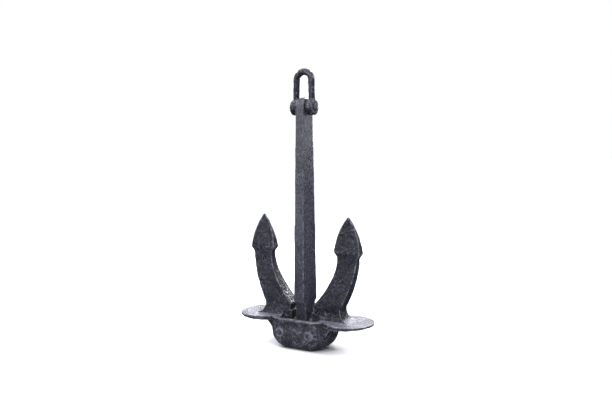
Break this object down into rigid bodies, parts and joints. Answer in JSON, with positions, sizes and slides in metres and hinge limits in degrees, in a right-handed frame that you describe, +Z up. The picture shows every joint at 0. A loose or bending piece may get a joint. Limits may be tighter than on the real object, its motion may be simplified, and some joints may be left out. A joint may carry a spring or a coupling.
{
  "type": "stockless anchor",
  "caption": "Stockless ship's anchor with a hinged fluke head, tripping palms, tapered shank and a bow shackle for the chain.",
  "frame": {"origin": "middle of the flat underside of the crown, which the anchor stands on", "axes": "+Z up along the shank to the shackle, +X along the line of the flukes and the hinge axles, +Y from the front face of the crown to its back face"},
  "size_m": [0.682, 0.236, 1.2767],
  "materials": {
    "head_paint": "gloss black paint over rough cast steel",
    "pin_paint": "gloss black paint over turned steel",
    "shank_paint": "gloss black paint over forged steel",
    "axle_steel": "greased dark steel",
    "shackle_paint": "gloss black paint over forged bar",
    "shackle_pin_paint": "gloss black paint over turned steel",
    "locking_steel": "bare steel",
    "plug_lead": "dull soft metal"
  },
  "bodies": {
    "head": {"anchor_head": "head_paint", "cross_pin_left": "pin_paint", "cross_pin_right": "pin_paint"},
    "shank": {"shank": "shank_paint", "crown_axle": "axle_steel"},
    "shackle": {"shackle_bow": "shackle_paint", "shackle_pin": "shackle_pin_paint", "shackle_locking_pin": "locking_steel", "locking_pin_plug": "plug_lead"}
  },
  "joints": [
    {"name": "crown_hinge", "type": "hinge", "parent": "head", "child": "shank", "pos_m": [0, 0, 0.118], "axis": [1, 0, 0], "range_deg": [-42, 42]},
    {"name": "shackle_hinge", "type": "hinge", "parent": "shank", "child": "shackle", "pos_m": [0, 0, 1.101], "axis": [1, 0, 0], "range_deg": [-150, 150]}
  ]
}
